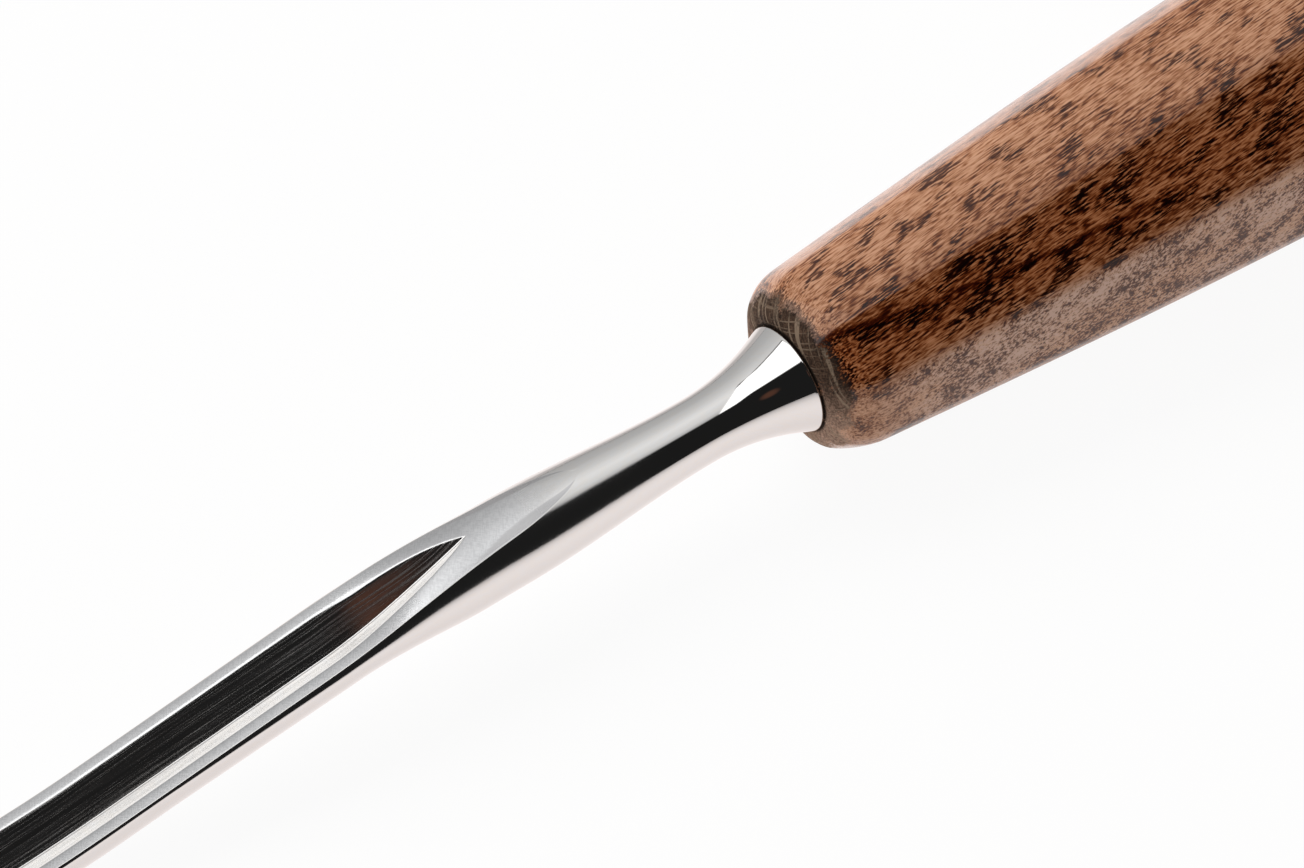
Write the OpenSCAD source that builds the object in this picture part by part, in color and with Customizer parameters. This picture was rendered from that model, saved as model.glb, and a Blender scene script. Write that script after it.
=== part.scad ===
// Bent V-gouge for wood carving: one forged steel blade driven into an octagonal wooden handle.
// Millimetres. The origin is the middle of the butt face of the handle.
// X runs along the tool to the cutting edge, Z points up out of the channel.

/* [Handle] */

// Length of the handle from nose face to butt face
handle_len = 130; // [100:1:160]
// Width across the flats at the fullest section
handle_flats = 30; // [26:0.5:36]
// Where the fullest section lies, as a share of the length from the nose
handle_full = 0.75; // [0.6:0.01:0.85]
// Width across the flats where the sides would meet the nose face
nose_flats = 19.1; // [18:0.1:24]
// Width across the flats where the sides would meet the butt face
butt_flats = 26.6; // [22:0.1:30]
// Radius between neighbouring facets
facet_round = 3; // [1:0.1:5]
// How far the rounding of the nose runs back along the side
nose_round = 5; // [2:0.1:7]
// How far the rounding of the nose cuts into the face
nose_inset = 3.3; // [1:0.1:3.4]
// How far the rounding of the butt runs forward along the side
butt_round = 7; // [3:0.1:12]
// How far the rounding of the butt cuts into the face
butt_inset = 5.5; // [2:0.1:7]

/* [Tang] */

// Length of the tang inside the handle
tang_len = 62; // [40:1:80]
// Side of the square tang at the bolster
tang_root = 6.6; // [5:0.1:7.4]
// Side of the square tang where the point begins
tang_end = 3.4; // [2:0.1:4.5]
// Length of the point of the tang
tang_point = 6; // [3:0.5:10]
// Space left between tang and handle on every side
fit_gap = 0.05; // [0.02:0.01:0.2]

/* [Bolster and shank] */

// Diameter of the bolster where it seats on the nose
bolster_d = 12; // [11:0.1:14]
// Length of the straight land at the rim of the bolster
bolster_land = 0.4; // [0.2:0.1:1]
// Diameter of the neck at its thinnest
neck_d = 7.1; // [6:0.1:8]
// Distance of the thinnest neck from the seat
neck_at = 11.5; // [9:0.5:14]
// Diameter of the shank at its fullest
shank_d = 9.34; // [8.5:0.02:10.5]
// Distance of the full shank from the neck
shank_run = 23.5; // [18:0.5:30]

/* [Ground top] */

// Height of the rims above the centreline along the channel
top_height = 2.9; // [2.7:0.05:3.3]
// How much the ground top drops from its start to there
top_drop = 1.45; // [1:0.05:1.6]
// Distance of the start of the ground top from the seat
top_at = 26; // [24:0.5:30]
// Length over which the ground top drops
top_run = 32; // [26:0.5:36]
// How the drop fades out, 1 is a straight slope
top_power = 1.6; // [1:0.1:2]
// Radius of the crown across the shank
crown_r = 7; // [6:0.1:10]
// Radius of the crown across each rim
rim_crown_r = 4; // [3:0.1:8]
// Widest part of the facet along each side of the crown
facet_w = 1; // [0.5:0.05:1.3]
// Rise of these facets, as a share of their width
facet_slope = 0.46; // [0.2:0.02:0.6]
// Distance of the start of these facets from the seat
facet_at = 26.5; // [25:0.5:32]
// Length of these facets
facet_len = 15; // [8:0.5:18]

/* [Blade] */

// Width over the rims just after the shank
rim_span = 8.62; // [8:0.02:10]
// Width over the rims at the cutting end before the bevel
edge_span = 9.6; // [8:0.1:12]
// Height of the blade from rims to belly
blade_height = 5.5; // [5:0.05:6.5]
// Roundness of the belly after the shank, 2 is an ellipse and more is squarer
belly_power = 2; // [1.8:0.1:3.2]
// Roundness of the keel at the cutting end, 1 is a sharp V
keel_power = 1.2; // [1.05:0.05:1.6]
// Radius of the cheek under each rim just after the shank
cheek_r = 1.35; // [0.8:0.05:1.6]
// Radius of the cheek in the middle of the blade
cheek_thin = 0.55; // [0.4:0.05:0.8]
// Radius of the cheek at the cutting end
cheek_edge = 0.3; // [0.2:0.05:0.5]
// How far the cheek turns in from the widest point to the rim
cheek_angle = 58; // [40:1:70]
// Angle between the two walls of the channel
vee_angle = 98; // [85:1:105]
// Radius in the root of the channel
root_r = 0.15; // [0.1:0.05:0.6]
// Width of each rim just after the shank
rim_w = 1.24; // [1:0.02:1.7]
// Width of each rim at the cutting end before the bevel
edge_rim_w = 1; // [0.8:0.05:1.5]
// Distance of the run-out point of the channel from the seat
channel_at = 40; // [36:0.5:44]
// Length of the run-out, from its point to the full depth
runout_len = 18; // [12:0.2:20]
// Radius of the wheel that leaves the run-out
wheel_r = 45; // [30:1:60]
// Length of the outside bevel at the cutting edge
bevel_len = 8; // [5:0.5:12]
// Thickness left at the cutting edge
edge_thick = 0.15; // [0.1:0.01:0.3]

/* [Bend] */

// Distance of the start of the first bend from the seat
crank_at = 39.3; // [35:0.1:43]
// Radius of the first bend, which turns down
crank_r = 75; // [60:1:120]
// How far the blade slopes down after the first bend
dip_angle = 7.6; // [4:0.1:12]
// Straight length between the two bends
slope_len = 34; // [24:1:45]
// Radius of the second bend, which turns up to the edge
sweep_r = 135; // [100:1:170]
// How far the blade rises at the cutting edge
lift_angle = 15; // [10:0.5:22]

/* [Hidden] */

// The bolster seats on the nose face, and the blade is measured from there.
seat = handle_len;

nose_h = nose_flats / 2;
full_h = handle_flats / 2;
butt_h = butt_flats / 2;
full_at = handle_full * handle_len;

bolster_r = bolster_d / 2;
neck_r = neck_d / 2;
shank_r = shank_d / 2;
// The flare is one arc, tangent to the neck and ending at the land of the rim.
flare_r = (pow(bolster_r - neck_r, 2) + pow(neck_at - bolster_land, 2)) / (2 * (bolster_r - neck_r));

// The shank starts a little inside the neck, so the two skins never lie on each other.
skin = 0.02;
sink = 0.6;

// The section turns from a round shank into the channel section here: where it starts and how long.
rim_lead = 4;
rim_grow_at = channel_at - rim_lead;
rim_grow_len = 22;
belly_grow_at = channel_at;
belly_grow_len = 16;
// The crown tightens and parts into two rims over these lengths of the channel.
crown_run = 14;
part_run = 13;
// The cheek thins between these lengths along the channel.
cheek_from = 8;
cheek_run = 30;
// A side facet takes no more than this share of the half width.
facet_limit = 0.6;

half_vee = vee_angle / 2;
root_y = root_r * cos(half_vee);
root_z = root_r * (1 - sin(half_vee));
depth_shank = root_z + (rim_span / 2 - rim_w - root_y) / tan(half_vee);
depth_edge = root_z + (edge_span / 2 - edge_rim_w - root_y) / tan(half_vee);

// Lengths along the centreline, from the seat.
arc = PI / 180;
crank_end = crank_at + crank_r * dip_angle * arc;
sweep_at = crank_end + slope_len;
tip_at = sweep_at + sweep_r * (dip_angle + lift_angle) * arc;
bevel_at = tip_at - bevel_len;

// Points round a section, and steps along the tool.
groove_n = 6;
groove_spread = 1.6;
rim_n = 4;
cheek_n = 4;
belly_n = 11;
outer_n = cheek_n + belly_n;
mouth_n = 14;
corner_n = 4;
round_n = 6;
bolster_n = 96;
flare_n = 192;
body_n = 22;
shank_n = 14;
runout_n = 20;
slope_n = 5;
sweep_n = 14;
bevel_n = 4;
// Half widths kept for the top points where there is no flat or channel yet.
flat_min = 0.9;
groove_min = 0.5;
// The point of the tang is this share of its side.
point_share = 0.25;

function clamp01(t) = max(0, min(1, t));
// Soft step from 0 to 1.
function ease(t) = let(c = clamp01(t)) c * c * (3 - 2 * c);
function mix(a, b, t) = a + (b - a) * t;

// Half width across the flats of the handle, a distance behind the nose.
function side_h(d) = d < full_at
    ? mix(nose_h, full_h, sin(90 * d / full_at))
    : mix(butt_h, full_h, cos(90 * (d - full_at) / (handle_len - full_at)));

// Octagon with rounded corners, flats up, down and to the sides.
function octagon(x, h) = [
    for (i = [0:7], j = [0:corner_n])
        let(c = (h - facet_round) / cos(22.5), a = 45 * i, t = a + 45 * j / corner_n)
        [x, c * cos(a + 22.5) + facet_round * cos(t), c * sin(a + 22.5) + facet_round * sin(t)]
];

handle_sections = concat(
    [for (i = [0:round_n])
        let(a = 90 - 90 * i / round_n, d = handle_len - butt_round * (1 - sin(a)))
        octagon(seat - d, side_h(d) - butt_inset * (1 - cos(a)))],
    [for (i = [1:body_n - 1])
        let(d = mix(handle_len - butt_round, nose_round, i / body_n))
        octagon(seat - d, side_h(d))],
    [for (i = [0:round_n])
        let(a = 90 - 90 * i / round_n, d = nose_round * (1 - cos(a)))
        octagon(seat - d, side_h(d) - nose_inset * (1 - sin(a)))]
);

function square_ring(x, h) = [[x, h, -h], [x, h, h], [x, -h, h], [x, -h, -h]];

// Tang from its point to the bolster, grown on every side to make its socket.
function tang_sections(grow) = [
    square_ring(seat - tang_len - grow, point_share * tang_end / 2 + grow),
    square_ring(seat - tang_len + tang_point, tang_end / 2 + grow),
    square_ring(seat, tang_root / 2 + grow),
    square_ring(seat + sink, tang_root / 2 + grow)
];

// Slope of the centreline, in degrees, a length along it.
function slope(s) = s < crank_at ? 0
    : s < crank_end ? -(s - crank_at) / (crank_r * arc)
    : s < sweep_at ? -dip_angle
    : -dip_angle + (s - sweep_at) / (sweep_r * arc);

slope_from = [crank_at + crank_r * sin(dip_angle), -crank_r * (1 - cos(dip_angle))];
sweep_from = slope_from + slope_len * [cos(dip_angle), -sin(dip_angle)];

// Place of the centreline, along from the seat and up.
function spine(s) = let(a = slope(s))
    s < crank_at ? [s, 0]
    : s < crank_end ? [crank_at - crank_r * sin(a), -crank_r * (1 - cos(a))]
    : s < sweep_at ? slope_from + (s - crank_end) * [cos(a), sin(a)]
    : sweep_from + sweep_r * [sin(a) + sin(dip_angle), cos(dip_angle) - cos(a)];

function shank_at(s) = mix(neck_r - skin, shank_r, ease((s - neck_at) / shank_run));
function top_line(s) = top_height + top_drop * pow(1 - clamp01((s - top_at) / top_run), top_power);
function rim_mix(s) = ease((s - rim_grow_at) / rim_grow_len);
function belly_mix(s) = ease((s - belly_grow_at) / belly_grow_len);
function edge_mix(s) = ease((s - sweep_at) / (bevel_at - sweep_at));
function bevel_mix(s) = clamp01((s - bevel_at) / bevel_len);

// Half width of the flat that the top grinds on the round shank.
function flat_half(s) = let(r = shank_at(s), f = top_line(s))
    f < r ? max(flat_min, sqrt(r * r - f * f)) : flat_min;
function span_half(s) = mix(rim_span, edge_span, edge_mix(s)) / 2;

// Height of the root of the channel. The wheel lifts out of the top along an arc at the run-out.
runout_end = channel_at + runout_len;
function root_line(s) = let(back = max(0, min(wheel_r, runout_end - s)))
    top_height - mix(depth_shank, depth_edge, edge_mix(s)) + wheel_r - sqrt(wheel_r * wheel_r - back * back);

// Height of the channel wall over its root, a distance from the middle.
function wall(y) = y < root_y ? root_r - sqrt(root_r * root_r - y * y)
    : root_z + (y - root_y) / tan(half_vee);

// Half width over the rims, brought in by the bevel to the wall of the channel.
function lip_half(s) = root_y + (top_line(s) - root_line(s) - root_z) * tan(half_vee);
function rim_half(s) = let(full = mix(flat_half(s), span_half(s), rim_mix(s)))
    bevel_mix(s) > 0 ? mix(full, lip_half(s) + edge_thick, bevel_mix(s)) : full;

// Ground top over the line of the rims: a crown with a facet along each side, then one crown on each rim.
function crown_at(s) = mix(crown_r, rim_crown_r, ease((s - channel_at) / crown_run));
function crown_mid(s) = (span_half(s) - rim_w / 2) * ease((s - channel_at) / part_run);
function facet_half(s) = facet_w * sin(180 * clamp01((s - facet_at) / facet_len));
function rise(s, y) = let(
        rim = rim_half(s),
        facet = min(facet_half(s), facet_limit * rim),
        mid = crown_mid(s),
        crown = (pow(rim - facet - mid, 2) - pow(y - mid, 2)) / (2 * crown_at(s)))
    min((rim - y) * facet_slope, facet * facet_slope + crown) * (1 - bevel_mix(s));
function ground(s, y) = let(r = shank_at(s), z = top_line(s) + rise(s, y))
    rim_mix(s) > 0 ? z : min(z, sqrt(r * r - y * y));

// Half width of the mouth of the channel, found by halving: inside it the wall lies below the top.
function mouth_half(s, low, high, n) = let(y = (low + high) / 2)
    n == 0 ? y
    : root_line(s) + wall(y) < ground(s, y) ? mouth_half(s, y, high, n - 1)
    : mouth_half(s, low, y, n - 1);
function top_point(s, y) = [y, min(ground(s, y), root_line(s) + wall(y))];

// Outside of the section, counted from the rim to the keel: round shank, then belly with cheeks, then V.
function shank_point(s, i) = let(
        r = shank_at(s),
        from = acos(flat_half(s) / r),
        a = i < cheek_n ? from * (1 - i / cheek_n) : -90 * (i - cheek_n) / belly_n)
    [r * cos(a), r * sin(a)];
function cheek(s) = let(thin = mix(cheek_r, cheek_thin, clamp01((s - channel_at - cheek_from) / cheek_run)))
    mix(thin, cheek_edge, edge_mix(s));
function belly_point(s, i) = let(
        c = cheek(s),
        top = top_line(s),
        power = 2 / mix(belly_power, keel_power, edge_mix(s)),
        turn = cheek_angle * max(0, 1 - i / cheek_n),
        down = 90 * max(0, i - cheek_n) / belly_n,
        wide = [span_half(s) + c * (1 - cos(cheek_angle)), top - c * sin(cheek_angle)])
    [wide[0] * pow(max(0, cos(down)), power) - c * (1 - cos(turn)),
     mix(wide[1], top - blade_height, pow(sin(down), power)) + c * sin(turn)];
function body_point(s, i) = let(
        p = mix(shank_point(s, i), belly_point(s, i), belly_mix(s)),
        spread = (rim_mix(s) - belly_mix(s)) * (span_half(s) - flat_half(s)))
    [p[0] + spread * ease(1 - i / outer_n), p[1]];

// The bevel brings the outside in to the channel wall at the cutting edge.
function lip_point(s, i) = let(t = i / outer_n, y = lip_half(s) * (1 - t))
    [y + edge_thick * (1 - t), root_line(s) + wall(y) - edge_thick * t];
function outer_point(s, i) = bevel_mix(s) > 0
    ? mix(body_point(s, i), lip_point(s, i), bevel_mix(s)) : body_point(s, i);

// One closed section, counted over the top from the right rim to the left, then under the keel.
function blade_ring(s) = let(
        rim = outer_point(s, 0),
        mouth = max(groove_min, mouth_half(s, 0, rim[0], mouth_n)),
        across = concat(
            [for (j = [1:rim_n]) mix(rim[0], mouth, j / rim_n)],
            [for (j = [1:groove_n]) mouth * pow(1 - j / groove_n, groove_spread)]),
        half = concat([rim], [for (y = across) top_point(s, y)]),
        under = [for (i = [1:outer_n]) outer_point(s, i)],
        ring = concat(
            half,
            [for (j = [len(half) - 2:-1:0]) mirror_y(half[j])],
            [for (q = under) mirror_y(q)],
            [for (i = [outer_n - 2:-1:0]) under[i]]),
        a = slope(s),
        p = spine(s))
    [for (q = ring) [seat + p[0] - q[1] * sin(a), q[0], p[1] + q[1] * cos(a)]];
function mirror_y(q) = [-q[0], q[1]];

function steps(a, b, n) = [for (i = [0:n - 1]) mix(a, b, i / n)];
stations = concat(
    steps(neck_at - sink, crank_at, shank_n),
    steps(crank_at, runout_end, runout_n),
    steps(runout_end, sweep_at, slope_n),
    steps(sweep_at, bevel_at, sweep_n),
    steps(bevel_at, tip_at, bevel_n),
    [tip_at]
);

// Skin over a row of sections with the same number of points, closed at both ends.
module loft(sections) {
    n = len(sections[0]);
    m = len(sections);
    points = [for (s = sections, p = s) p];
    sides = [
        for (i = [0:m - 2], j = [0:n - 1])
            let(a = i * n + j, b = i * n + (j + 1) % n)
            each [[a, a + n, b], [b, a + n, b + n]]
    ];
    ends = [[for (j = [0:n - 1]) j], [for (j = [n - 1:-1:0]) (m - 1) * n + j]];
    polyhedron(points = points, faces = concat(sides, ends), convexity = 6);
}

module bolster() {
    translate([seat, 0, 0])
        rotate([0, 90, 0])
            rotate_extrude($fn = bolster_n)
                difference() {
                    square([bolster_r, neck_at]);
                    translate([neck_r + flare_r, neck_at])
                        circle(r = flare_r, $fn = flare_n);
                }
}

module blade() {
    color("silver")
        union() {
            loft(tang_sections(0));
            bolster();
            loft([for (s = stations) blade_ring(s)]);
        }
}

module handle() {
    color("sienna")
        difference() {
            loft(handle_sections);
            loft(tang_sections(fit_gap));
        }
}

blade();
handle();
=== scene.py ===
import bpy
import numpy as np
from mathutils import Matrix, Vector


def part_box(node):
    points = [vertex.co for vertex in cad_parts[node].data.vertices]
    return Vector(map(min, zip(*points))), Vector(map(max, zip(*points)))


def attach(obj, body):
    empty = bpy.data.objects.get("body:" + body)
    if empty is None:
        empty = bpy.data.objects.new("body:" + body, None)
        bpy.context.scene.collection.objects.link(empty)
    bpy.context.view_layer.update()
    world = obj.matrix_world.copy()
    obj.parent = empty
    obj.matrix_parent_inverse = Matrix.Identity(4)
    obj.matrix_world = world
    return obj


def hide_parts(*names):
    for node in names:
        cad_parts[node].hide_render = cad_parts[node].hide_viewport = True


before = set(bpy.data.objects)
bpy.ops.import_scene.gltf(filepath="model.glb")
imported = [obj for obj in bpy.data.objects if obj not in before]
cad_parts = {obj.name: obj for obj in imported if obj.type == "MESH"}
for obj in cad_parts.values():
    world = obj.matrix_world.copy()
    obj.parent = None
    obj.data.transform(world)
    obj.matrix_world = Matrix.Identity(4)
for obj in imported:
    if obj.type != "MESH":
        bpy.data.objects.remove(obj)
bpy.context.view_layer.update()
mm = 0.001
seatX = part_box("handle")[1][0] / mm  # nose face, where the bolster seats, in mm from the butt
print("frame loaded, seat at", round(seatX, 3), "mm")


# shared sums on whole arrays

def ease(t):  # soft step: 3 t^2 - 2 t^3 on 0 to 1
    c = np.clip(t, 0, 1)
    return c * c * (3 - 2 * c)


def mix(a, b, t):  # straight blend from a to b
    return a + (b - a) * t


def softMax(x, k):  # larger of x and 0, rounded over about k
    return (x + np.sqrt(x * x + k * k)) / 2


def softMin(a, b, k):  # smaller of a and b, rounded over about k
    return a - softMax(a - b, k)


def after(n):  # n even steps up to 1, without the 0
    return np.linspace(0, 1, n + 1)[None, 1:]


def gridFaces(rows, cols):
    # quads of rows of closed rings, facing out when rings turn from +Y to +Z along +X
    i = np.arange(rows - 1)[:, None] * cols
    j = np.arange(cols)[None, :]
    k = (j + 1) % cols
    return np.stack([i + j, i + k, i + k + cols, i + j + cols], -1).reshape(-1, 4)


def makePiece(name, points, faces, flatFaces=0):
    # mesh in metres from points in mm; the last flatFaces stay flat
    mesh = bpy.data.meshes.new(name)
    loops = np.concatenate([np.asarray(f).ravel() for f in faces]).astype(np.int32)
    counts = np.concatenate([np.full(len(f), np.asarray(f).shape[1]) for f in faces]).astype(np.int32)
    mesh.vertices.add(len(points))
    mesh.vertices.foreach_set("co", (points * mm).astype(np.float32).ravel())
    mesh.loops.add(len(loops))
    mesh.loops.foreach_set("vertex_index", loops)
    mesh.polygons.add(len(counts))
    starts = np.concatenate([[0], np.cumsum(counts)[:-1]]).astype(np.int32)
    mesh.polygons.foreach_set("loop_start", starts)
    smooth = np.ones(len(counts), bool)
    smooth[len(counts) - flatFaces:] = False
    mesh.polygons.foreach_set("use_smooth", smooth)
    mesh.update(calc_edges=True)
    mesh.validate()
    piece = bpy.data.objects.new(name, mesh)
    bpy.context.scene.collection.objects.link(piece)
    return piece


def addAttribute(piece, name, values):  # one number for each vertex, for a material to read
    layer = piece.data.attributes.new(name, "FLOAT", "POINT")
    layer.data.foreach_set("value", np.asarray(values, np.float32).ravel())


def addMap(piece, name, coords):  # UV map, one pair for each face corner
    layer = piece.data.uv_layers.new(name=name)
    layer.data.foreach_set("uv", np.asarray(coords, np.float32).ravel())


# nodes for materials

def newTree(owner):  # empty node tree of a material or world
    owner.use_nodes = True
    owner.node_tree.nodes.clear()
    return owner.node_tree


def add(tree, kind, **settings):  # node with its settings; those that name an input set or link it
    node = tree.nodes.new(kind)
    for key, value in settings.items():
        if hasattr(node, key):
            setattr(node, key, value)
    for key, value in settings.items():
        if hasattr(node, key):
            continue
        numbered = key.startswith("in") and key[2:].isdigit()
        socket = node.inputs[int(key[2:]) if numbered else key]
        if isinstance(value, bpy.types.NodeSocket):
            tree.links.new(value, socket)
        else:
            socket.default_value = value
    return node


def math(tree, operation, a, b=0.0, c=0.0):  # one sum of up to three numbers or sockets
    return add(tree, "ShaderNodeMath", operation=operation, in0=a, in1=b, in2=c).outputs[0]


def ramp(tree, value, stops):  # stops of (place, grey or colour)
    node = add(tree, "ShaderNodeValToRGB", in0=value)
    elements = node.color_ramp.elements
    for place, colour in stops[2:]:
        elements.new(place)
    for element, (place, colour) in zip(elements, sorted(stops, key=lambda s: s[0])):
        element.position = place
        element.color = (*colour, 1) if isinstance(colour, tuple) else (colour, colour, colour, 1)
    return node.outputs[0]


def blendColour(tree, factor, a, b, how="MIX"):  # from colour a towards b, or a times b, by the factor
    node = add(tree, "ShaderNodeMix", data_type="RGBA", blend_type=how, clamp_factor=True)
    for index, value in ((0, factor), (6, a), (7, b)):
        if isinstance(value, bpy.types.NodeSocket):
            tree.links.new(value, node.inputs[index])
        else:
            node.inputs[index].default_value = value if index == 0 else (*value, 1)
    return node.outputs[2]


def gate(tree, value, low, high):  # soft step from 0 at low to 1 at high
    node = add(tree, "ShaderNodeMapRange", interpolation_type="SMOOTHSTEP", in0=value, in1=low, in2=high)
    return node.outputs[0]


def turned(tree, coords, angles):  # coordinates turned about the origin
    return add(tree, "ShaderNodeMapping", in0=coords, Rotation=angles).outputs[0]


def streaks(tree, coords, scale, detail, rough, seed=(0, 0, 0)):  # noise drawn out by its three scales
    place = add(tree, "ShaderNodeMapping", in0=coords, Location=seed, Scale=scale).outputs[0]
    node = add(tree, "ShaderNodeTexNoise", Vector=place, Scale=1.0, Detail=detail, Roughness=rough)
    return node.outputs[0]


def attributes(tree, *names):  # sockets of the numbers stored on the mesh
    return [add(tree, "ShaderNodeAttribute", attribute_name=name).outputs["Fac"] for name in names]


# blade: tang, bolster, neck, shank and channel in one skin

bladeSize = dict(
    bolsterD=12.0, bolsterLand=0.4, bolsterRound=0.3, neckD=7.1, neckAt=11.5, shankD=9.34, shankRun=23.5,
    tangLen=62.0, tangRoot=6.6, tangEnd=3.4, tangPoint=6.0, pointShare=0.25, tangMid=20.0,
    topHeight=2.9, topDrop=1.45, topAt=26.0, topRun=32.0, topPower=1.6,
    rimSpan=8.62, edgeSpan=9.6, height=5.5, bellyPower=2.0, keelPower=1.2,
    cheekR=1.35, cheekThin=0.55, cheekEdge=0.3, cheekAngle=58.0, cheekFrom=8.0, cheekRun=30.0,
    crownR=7.0, rimCrownR=4.0, crownRun=14.0, partRun=13.0,
    facetW=1.0, facetSlope=0.46, facetAt=26.5, facetLen=15.0, facetLimit=0.6,
    veeAngle=98.0, rootR=0.15, rimW=1.24, edgeRimW=1.0, channelAt=40.0, runoutLen=18.0, wheelR=45.0,
    rimGrowLead=4.0, rimGrowLen=22.0, bellyGrowLen=16.0, bevelLen=8.0, edgeThick=0.15,
    crankAt=39.3, crankR=75.0, dipAngle=7.6, slopeLen=34.0, sweepR=135.0, liftAngle=15.0,
    edgeRound=0.1, lipRound=0.12, lipDeep=0.6, facetSoft=0.015, domeSoft=0.01, bevelShare=0.9,
    # where points lie in a section, and how many there are
    layMin=0.5, layLead=8.0, layShare=0.35, wideAt=0.72, followTurn=0.06,
    lipOut=0.35, lipOutMost=0.7, lipIn=0.3, inLeast=0.6, halvings=24,
    sideN=46, cornerN=8, topNs=(16, 14, 10, 14), rimN=9, flareN=64, steps=(72, 84, 100, 20), stepLead=1.0,
    # how far each finish reaches
    groundFade=10.0, lapEnd=44.0, lapFade=8.0, satinAt=14.0, satinRun=10.0,
    channelSoft=0.2, mouthLeast=0.02, facetEdge=0.06, facetShow=0.2,
)
b = bladeSize
halfVee = np.radians(b["veeAngle"] / 2)
cheekTurn = np.radians(b["cheekAngle"])
dip = np.radians(b["dipAngle"])
lift = np.radians(b["liftAngle"])
rootY = b["rootR"] * np.cos(halfVee)
rootZ = b["rootR"] * (1 - np.sin(halfVee))
shankDepth = rootZ + (b["rimSpan"] / 2 - b["rimW"] - rootY) / np.tan(halfVee)
edgeDepth = rootZ + (b["edgeSpan"] / 2 - b["edgeRimW"] - rootY) / np.tan(halfVee)
runoutEnd = b["channelAt"] + b["runoutLen"]
crankEnd = b["crankAt"] + b["crankR"] * dip
sweepAt = crankEnd + b["slopeLen"]
tipAt = sweepAt + b["sweepR"] * (dip + lift)
bevelAt = tipAt - b["bevelLen"]


def spinePath(s):
    # straight, an arc that turns down, a straight slope, then an arc that turns up; gives place and slope
    a = np.where(s < crankEnd, -np.clip(s - b["crankAt"], 0, None) / b["crankR"], -dip)
    a = np.where(s > sweepAt, -dip + (s - sweepAt) / b["sweepR"], a)
    slopeX = b["crankAt"] + b["crankR"] * np.sin(dip)
    slopeZ = -b["crankR"] * (1 - np.cos(dip))
    sweepX = slopeX + b["slopeLen"] * np.cos(dip)
    sweepZ = slopeZ - b["slopeLen"] * np.sin(dip)
    x = np.where(s < b["crankAt"], s, b["crankAt"] - b["crankR"] * np.sin(a))
    z = np.where(s < b["crankAt"], 0, -b["crankR"] * (1 - np.cos(a)))
    x = np.where(s > crankEnd, slopeX + (s - crankEnd) * np.cos(dip), x)
    z = np.where(s > crankEnd, slopeZ - (s - crankEnd) * np.sin(dip), z)
    x = np.where(s > sweepAt, sweepX + b["sweepR"] * (np.sin(a) + np.sin(dip)), x)
    z = np.where(s > sweepAt, sweepZ + b["sweepR"] * (np.cos(dip) - np.cos(a)), z)
    return x, z, a


def wallHeight(y):  # channel wall over its root: an arc, then a straight wall at half the V angle
    arc = b["rootR"] - np.sqrt(np.maximum(b["rootR"]**2 - y * y, 0))
    return np.where(y < rootY, arc, rootZ + (y - rootY) / np.tan(halfVee))


def sectionSizes(s):  # what the section is made of at each length along the blade, one column each
    s = s[:, None]
    edgeMix = ease((s - sweepAt) / (bevelAt - sweepAt))
    back = np.clip(runoutEnd - s, 0, b["wheelR"])
    wheelRise = b["wheelR"] - np.sqrt(b["wheelR"]**2 - back**2)
    root = b["topHeight"] - mix(shankDepth, edgeDepth, edgeMix) + wheelRise
    topDrop = b["topDrop"] * (1 - np.clip((s - b["topAt"]) / b["topRun"], 0, 1))**b["topPower"]
    top = b["topHeight"] + topDrop
    span = mix(b["rimSpan"], b["edgeSpan"], edgeMix) / 2
    thinning = np.clip((s - b["channelAt"] - b["cheekFrom"]) / b["cheekRun"], 0, 1)
    cheek = mix(b["cheekR"], b["cheekThin"], thinning)
    return dict(
        radius=mix(b["neckD"], b["shankD"], ease((s - b["neckAt"]) / b["shankRun"])) / 2,
        top=top,
        span=span,
        power=2 / mix(b["bellyPower"], b["keelPower"], edgeMix),
        rimMix=ease((s - b["channelAt"] + b["rimGrowLead"]) / b["rimGrowLen"]),
        bellyMix=ease((s - b["channelAt"]) / b["bellyGrowLen"]),
        root=root,
        lip=rootY + (top - root - rootZ) * np.tan(halfVee),
        layout=b["layShare"] * (1 - ease((s - b["channelAt"] + b["layLead"]) / b["layLead"])),
        cheek=mix(cheek, b["cheekEdge"], edgeMix),
        crown=mix(b["crownR"], b["rimCrownR"], ease((s - b["channelAt"]) / b["crownRun"])),
        midY=(span - b["rimW"] / 2) * ease((s - b["channelAt"]) / b["partRun"]),
        facet=b["facetW"] * np.sin(np.pi * np.clip((s - b["facetAt"]) / b["facetLen"], 0, 1)),
        bevel=np.clip((s - bevelAt) / b["bevelLen"], 0, 1),
    )


def roundSizes(radius):  # the same columns for a plain round section
    r = radius[:, None]
    none = 0 * r
    return dict(radius=r, top=r + 1, span=r, power=none + 1, rimMix=none, bellyMix=none, root=r + 9, lip=none,
                layout=none + b["layShare"], bevel=none, cheek=none + 1, crown=none + 1, midY=none, facet=none)


def groundTop(c, rimY, y):
    # height of the crowned top over y: a facet along each side, then one crown on each rim
    facet = np.minimum(c["facet"], b["facetLimit"] * rimY)
    crown = ((rimY - facet - c["midY"])**2 - (y - c["midY"])**2) / (2 * c["crown"])
    leaf = (rimY - y) * b["facetSlope"]
    rise = softMin(leaf, facet * b["facetSlope"] + crown, b["facetSoft"]) * (1 - c["bevel"])
    dome = np.sqrt(np.maximum(c["radius"]**2 - y**2, 0))
    return np.where(c["rimMix"] > 0, c["top"] + rise, softMin(c["top"] + rise, dome, b["domeSoft"]))


def mouthHalf(c, rimY):
    # half width of the mouth of the channel, found by halving: inside it the wall lies below the top
    low, high = 0 * rimY, rimY
    for step in range(b["halvings"]):
        y = (low + high) / 2
        inside = c["root"] + wallHeight(y) < groundTop(c, rimY, y)
        low, high = np.where(inside, y, low), np.where(inside, high, y)
    return low


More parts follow.
